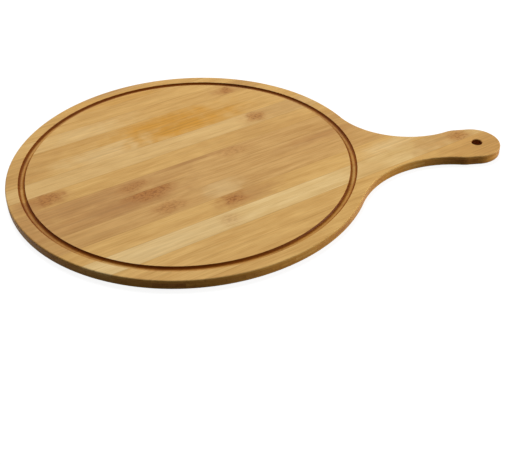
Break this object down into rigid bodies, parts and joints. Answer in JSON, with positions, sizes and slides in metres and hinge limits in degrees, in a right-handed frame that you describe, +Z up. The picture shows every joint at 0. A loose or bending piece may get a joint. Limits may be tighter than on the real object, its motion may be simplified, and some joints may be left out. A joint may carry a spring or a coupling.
{
  "type": "pizza serving board",
  "caption": "Round laminated bamboo pizza serving board with a juice groove near the rim and a waisted paddle handle with a hanging hole.",
  "frame": {"origin": "centre of the round, on the underside", "axes": "+X along the handle towards its tip, +Y across the board, +Z up out of the grooved face"},
  "size_m": [0.415, 0.3, 0.008],
  "materials": {
    "bamboo_honey": "satin oiled bamboo",
    "bamboo_amber": "satin oiled bamboo",
    "bamboo_straw": "satin oiled bamboo",
    "bamboo_brown": "satin oiled bamboo",
    "bamboo_wheat": "satin oiled bamboo",
    "bamboo_core": "satin oiled bamboo"
  },
  "bodies": {
    "root": {"top_strip_01": "bamboo_amber", "top_strip_02": "bamboo_wheat", "top_strip_03": "bamboo_straw", "top_strip_04": "bamboo_honey", "top_strip_05": "bamboo_brown", "top_strip_06": "bamboo_amber", "top_strip_07": "bamboo_wheat", "top_strip_08": "bamboo_straw", "top_strip_09": "bamboo_honey", "top_strip_10": "bamboo_straw", "top_strip_11": "bamboo_wheat", "top_strip_12": "bamboo_amber", "top_strip_13": "bamboo_brown", "top_strip_14": "bamboo_honey", "top_strip_15": "bamboo_straw", "top_strip_16": "bamboo_wheat", "top_grip_strip_02": "bamboo_wheat", "core_slat_01": "bamboo_core", "core_slat_02": "bamboo_core", "core_slat_03": "bamboo_core", "core_slat_04": "bamboo_core", "core_slat_05": "bamboo_core", "core_slat_06": "bamboo_core", "core_slat_07": "bamboo_core", "core_slat_08": "bamboo_core", "core_slat_09": "bamboo_core", "core_slat_10": "bamboo_core", "core_slat_11": "bamboo_core", "core_slat_12": "bamboo_core", "core_slat_13": "bamboo_core", "core_slat_14": "bamboo_core", "core_slat_15": "bamboo_core", "core_slat_16": "bamboo_core", "core_slat_17": "bamboo_core", "core_slat_18": "bamboo_core", "core_slat_19": "bamboo_core", "core_slat_20": "bamboo_core", "bottom_strip_01": "bamboo_amber", "bottom_strip_02": "bamboo_wheat", "bottom_strip_03": "bamboo_straw", "bottom_strip_04": "bamboo_honey", "bottom_strip_05": "bamboo_brown", "bottom_strip_06": "bamboo_amber", "bottom_strip_07": "bamboo_wheat", "bottom_strip_08": "bamboo_straw", "bottom_strip_09": "bamboo_honey", "bottom_strip_10": "bamboo_straw", "bottom_strip_11": "bamboo_wheat", "bottom_strip_12": "bamboo_amber", "bottom_strip_13": "bamboo_brown", "bottom_strip_14": "bamboo_honey", "bottom_strip_15": "bamboo_straw", "bottom_strip_16": "bamboo_wheat", "bottom_grip_strip_02": "bamboo_wheat"}
  },
  "joints": []
}
